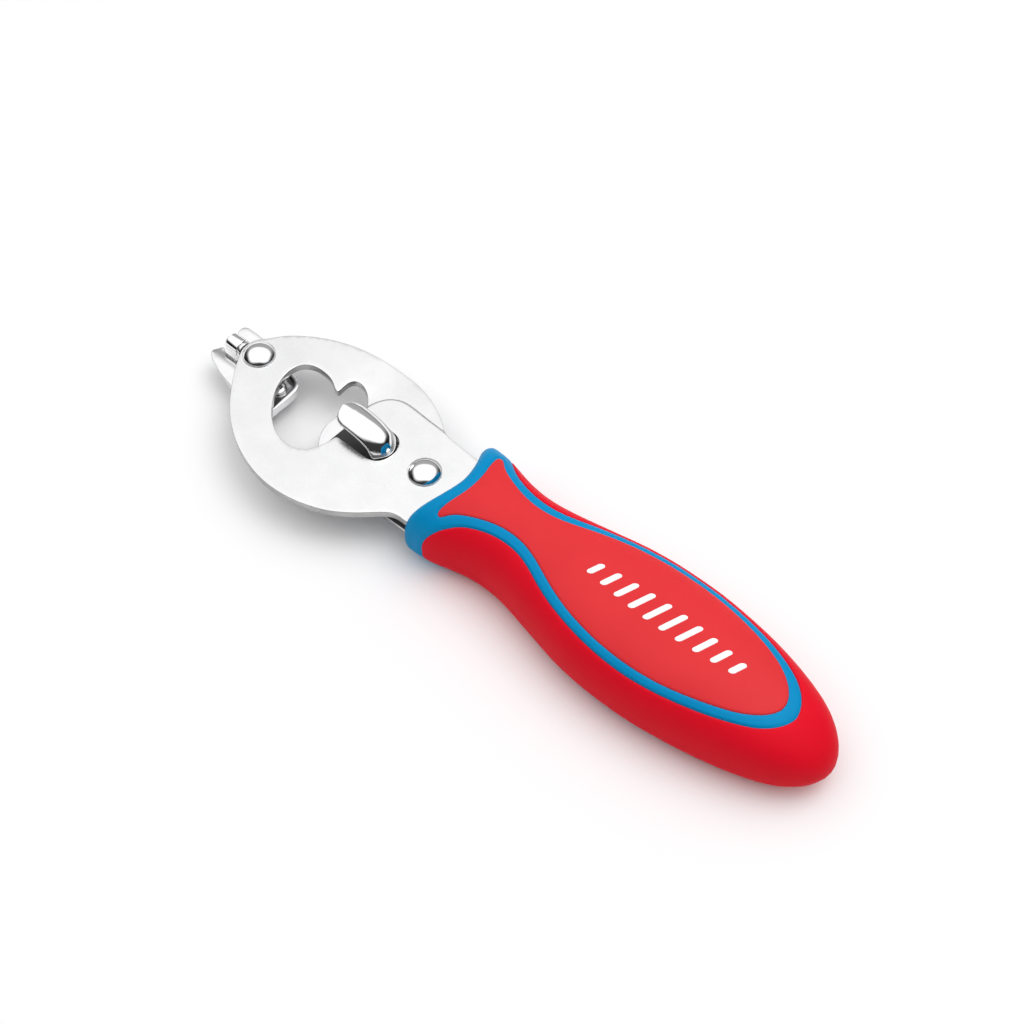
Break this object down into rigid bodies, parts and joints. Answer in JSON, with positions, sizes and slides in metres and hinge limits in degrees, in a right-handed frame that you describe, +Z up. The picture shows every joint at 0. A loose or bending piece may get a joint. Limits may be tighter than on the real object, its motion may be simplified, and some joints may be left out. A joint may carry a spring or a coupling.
{
  "type": "manual can opener",
  "caption": "Hand-held can opener: flat steel head with a cap-lifting window and raised tongue, swivelling nose bracket with roller and cutting wheel, two-colour moulded grip.",
  "frame": {"origin": "middle of the flat on the underside of the grip, on the tool's centre line", "axes": "+X along the tool towards the end of the grip, so the nose points along -X; +Z up through the top panel of the grip; +Y to the side on which the ring of the head is set down beside the arm"},
  "size_m": [0.2068, 0.052, 0.0222],
  "materials": {
    "satin_steel": "fine satin",
    "bright_steel": "bright pressed",
    "blade_steel": "ground",
    "plain_steel": "zinc plated",
    "chrome": "mirror",
    "blue_plastic": "semi-matte moulded",
    "red_grip": "soft-touch matte",
    "black_plastic": "matte"
  },
  "bodies": {
    "opener": {"head_plate": "satin_steel", "backing_plate": "satin_steel", "cap_lifter": "chrome", "plate_shim": "black_plastic", "rear_rivet": "chrome", "head_rivet": "chrome", "rear_rivet_washer": "plain_steel", "head_rivet_washer": "plain_steel", "swivel_bush": "plain_steel", "spring_washer": "plain_steel", "handle_core": "blue_plastic", "grip_panel_top": "red_grip", "grip_panel_bottom": "red_grip", "side_grip": "red_grip", "tang_spacer": "black_plastic", "tang_pin_front": "plain_steel", "tang_pin_rear": "plain_steel"},
    "nose_bracket": {"guide_bracket": "bright_steel", "roller_pin": "chrome", "roller_washer": "plain_steel", "wheel_stud": "chrome", "wheel_washer": "plain_steel"},
    "roller": {"guide_roller": "chrome"},
    "wheel": {"cutting_wheel": "blade_steel"}
  },
  "joints": [
    {"name": "bracket_swivel", "type": "hinge", "parent": "opener", "child": "nose_bracket", "pos_m": [-0.128, 0, 0.0042], "axis": [0, 0, 1], "range_deg": [-30, 30]},
    {"name": "roller_spin", "type": "hinge", "parent": "nose_bracket", "child": "roller", "pos_m": [-0.1378, 0.0003, 0.0086], "axis": [1, 0, 0], "continuous": true},
    {"name": "wheel_spin", "type": "hinge", "parent": "nose_bracket", "child": "wheel", "pos_m": [-0.12, -0.0016, 0.0026], "axis": [0, 0, 1], "continuous": true}
  ]
}
